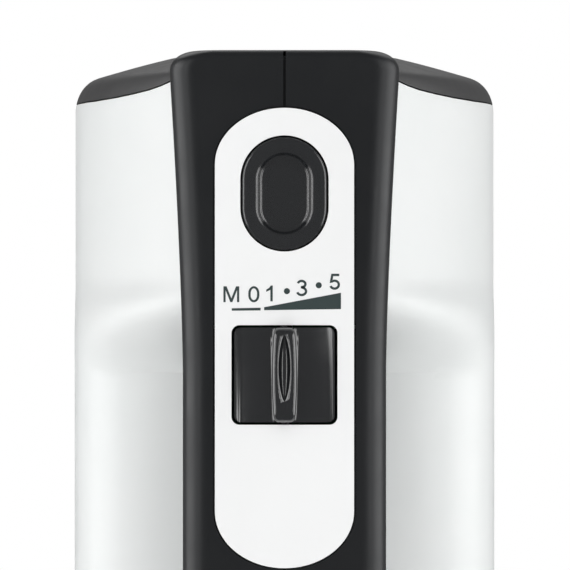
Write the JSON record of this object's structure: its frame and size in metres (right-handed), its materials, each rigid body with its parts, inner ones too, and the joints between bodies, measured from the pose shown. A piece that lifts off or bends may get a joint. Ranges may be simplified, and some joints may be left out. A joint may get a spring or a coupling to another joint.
{
  "type": "hand mixer",
  "caption": "Two-whisk hand mixer with loop handle, sideways speed selector, ejector button, worm-driven spindles and a shuttered heel port for a blending foot",
  "frame": {"origin": "on the standing surface, under the middle of the overall box, mixer standing on its heel", "axes": "+Z from heel to nose, -Y towards the control panel, +Y towards the whisk tips, +X to the right of someone facing the panel"},
  "size_m": [0.0858, 0.2865, 0.2026],
  "materials": {
    "white_shell": "gloss",
    "panel": "gloss",
    "anthracite": "fine satin",
    "trim": "satin",
    "rubber": "matte",
    "inner_plastic": "as moulded",
    "steel": "turned",
    "whisk_wire": "polished",
    "lamination": "stamped sheet",
    "copper": "enamelled wire",
    "carbon": "pressed",
    "nylon": "as moulded",
    "board": "lacquered",
    "heat_sink": "extruded"
  },
  "bodies": {
    "housing": {"side_shell_left": "white_shell", "side_shell_right": "white_shell", "handle_half_left": "anthracite", "handle_half_right": "anthracite", "control_panel": "panel", "nose_cap": "trim", "heel_cap": "anthracite", "heel_pad": "rubber", "socket_plate": "trim", "cord_inlet": "rubber", "motor_stator": "lamination", "field_coil_upper": "copper", "field_coil_lower": "copper", "rear_bracket": "lamination", "front_bracket": "lamination", "rear_bearing": "steel", "front_bearing": "steel", "brush_holder_left": "inner_plastic", "brush_holder_right": "inner_plastic", "carbon_brush_left": "carbon", "carbon_brush_right": "carbon", "gearbox_housing": "inner_plastic", "gearbox_cover": "inner_plastic", "spindle_bush_left": "nylon", "spindle_bush_right": "nylon", "ejector_spring": "steel", "selector_shaft": "steel", "control_board": "board", "suppression_capacitor": "inner_plastic", "triac_heat_sink": "heat_sink", "terminal_block": "inner_plastic", "heel_screw_left": "steel", "heel_screw_right": "steel", "socket_screw_lower": "steel", "socket_screw_upper": "steel", "handle_screw_front": "steel", "handle_screw_rear": "steel"},
    "armature": {"armature_shaft": "steel", "armature_core": "lamination", "winding_rear": "copper", "winding_front": "copper", "commutator": "copper", "cooling_fan": "inner_plastic", "rear_coupling": "steel"},
    "spindle_left": {"spindle_left": "steel", "worm_wheel_left": "nylon"},
    "spindle_right": {"spindle_right": "steel", "worm_wheel_right": "nylon"},
    "whisk_left": {"whisk_stem_left": "whisk_wire", "whisk_collar_left": "anthracite", "whisk_wires_left": "whisk_wire"},
    "whisk_right": {"whisk_stem_right": "whisk_wire", "whisk_collar_right": "anthracite", "whisk_wires_right": "whisk_wire"},
    "ejector": {"ejector_button": "anthracite", "ejector_rod": "inner_plastic", "ejector_yoke": "inner_plastic"},
    "selector": {"speed_selector": "anthracite"},
    "slider": {"speed_slider": "inner_plastic"},
    "shutter": {"port_shutter": "trim"}
  },
  "joints": [
    {"name": "armature_spin", "type": "hinge", "parent": "housing", "child": "armature", "pos_m": [0, -0.047, 0.164], "axis": [0, 0, 1], "continuous": true},
    {"name": "spindle_left_spin", "type": "hinge", "parent": "housing", "child": "spindle_left", "pos_m": [-0.0195, -0.047, 0.164], "axis": [0, 1, 0], "continuous": true},
    {"name": "spindle_right_spin", "type": "hinge", "parent": "housing", "child": "spindle_right", "pos_m": [0.0195, -0.047, 0.164], "axis": [0, 1, 0], "continuous": true},
    {"name": "whisk_left_release", "type": "slide", "parent": "spindle_left", "child": "whisk_left", "axis": [0, 1, 0], "range_m": [0, 0.055]},
    {"name": "whisk_right_release", "type": "slide", "parent": "spindle_right", "child": "whisk_right", "axis": [0, 1, 0], "range_m": [0, 0.055]},
    {"name": "ejector_press", "type": "slide", "parent": "housing", "child": "ejector", "axis": [0, 1, 0], "range_m": [0, 0.005], "stiffness_N_per_m": 600, "springref_m": -0.004},
    {"name": "selector_turn", "type": "hinge", "parent": "housing", "child": "selector", "pos_m": [0, -0.1238, 0.1395], "axis": [0, 0, 1], "range_deg": [-21, 21]},
    {"name": "slider_slide", "type": "slide", "parent": "housing", "child": "slider", "axis": [1, 0, 0], "range_m": [-0.0045, 0.0045]},
    {"name": "shutter_slide", "type": "slide", "parent": "housing", "child": "shutter", "axis": [0, -1, 0], "range_m": [0, 0.027]}
  ],
  "couplings": [
    {"joint": "spindle_left_spin", "follows": "armature_spin", "ratio": 0.033333},
    {"joint": "spindle_right_spin", "follows": "armature_spin", "ratio": -0.033333},
    {"joint": "slider_slide", "follows": "selector_turn", "m_per_rad": -0.012}
  ]
}
